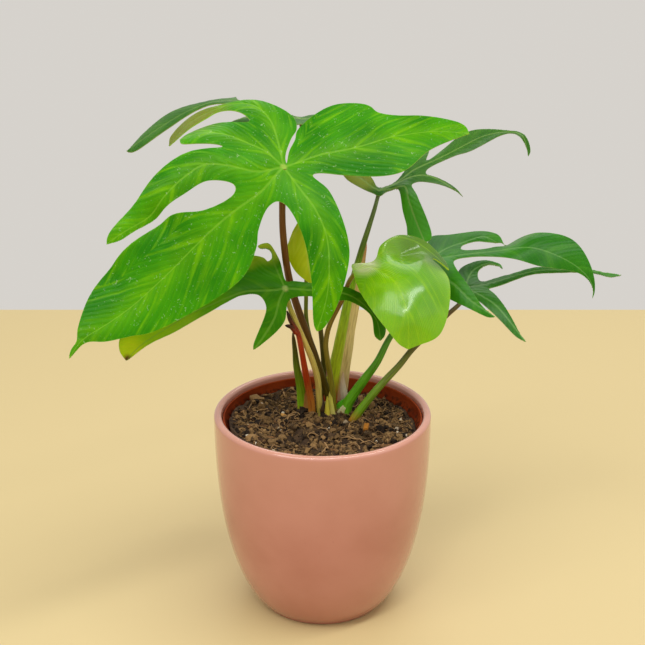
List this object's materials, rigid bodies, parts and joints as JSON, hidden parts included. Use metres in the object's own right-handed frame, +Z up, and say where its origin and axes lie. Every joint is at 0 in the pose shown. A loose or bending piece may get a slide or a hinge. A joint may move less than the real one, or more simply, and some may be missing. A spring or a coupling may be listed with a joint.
{
  "type": "potted philodendron",
  "caption": "Potted philodendron with deeply lobed glossy leaves on long arching petioles, growing from soil in a nursery pot inside a round glazed cachepot.",
  "frame": {"origin": "middle of the outer pot's flat base, on the surface it stands on", "axes": "+Z up along the pot's axis; the pictured side looks along -Y, +X to the viewer's right"},
  "size_m": [0.3199, 0.1693, 0.321],
  "materials": {
    "rose_glaze": "glossy dusty rose glaze on stoneware",
    "nursery_plastic": "thin rust-brown moulded plastic",
    "potting_mix": "loose dark peat mix with perlite, bark and fibre",
    "crown_bark": "rough green-brown stem base",
    "front_blade": "living leaf, satin, bright green with a yellow-green midrib",
    "dark_blade": "living leaf, satin, dark green",
    "lime_blade": "young living leaf, glossy lime green",
    "cool_blade": "living leaf, satin green with a cool sheen",
    "olive_blade": "living leaf, satin olive green",
    "back_blade": "living leaf, satin mid green",
    "inner_blade": "young living leaf, soft yellow-green",
    "brown_petiole": "smooth brown-purple petiole",
    "pale_petiole": "smooth pale yellow-green petiole",
    "olive_petiole": "smooth olive petiole",
    "green_petiole": "smooth bright green petiole",
    "thick_petiole": "smooth yellow-green petiole, red at the foot",
    "red_stalk": "old red-brown stalk with a black spur tip",
    "tan_papery": "dry papery tan sheath",
    "pale_papery": "pale papery scale"
  },
  "bodies": {
    "root": {"outer_pot": "rose_glaze", "nursery_pot": "nursery_plastic", "soil": "potting_mix", "crown": "crown_bark", "front_petiole": "brown_petiole", "low_left_petiole": "pale_petiole", "inner_petiole": "olive_petiole", "lime_petiole": "brown_petiole", "right_petiole": "green_petiole", "far_right_petiole": "olive_petiole", "top_right_petiole": "thick_petiole", "top_left_petiole": "brown_petiole", "old_red_stalk": "red_stalk", "green_sheath": "olive_petiole", "tan_sheath": "tan_papery", "pale_scale": "pale_papery", "new_bud": "pale_petiole", "side_bud": "olive_petiole", "front_leaf": "front_blade", "low_left_leaf": "dark_blade", "lime_leaf": "lime_blade", "right_leaf": "cool_blade", "far_right_leaf": "cool_blade", "top_right_leaf": "olive_blade", "top_left_leaf": "back_blade", "inner_lime_leaf": "inner_blade"}
  },
  "joints": []
}
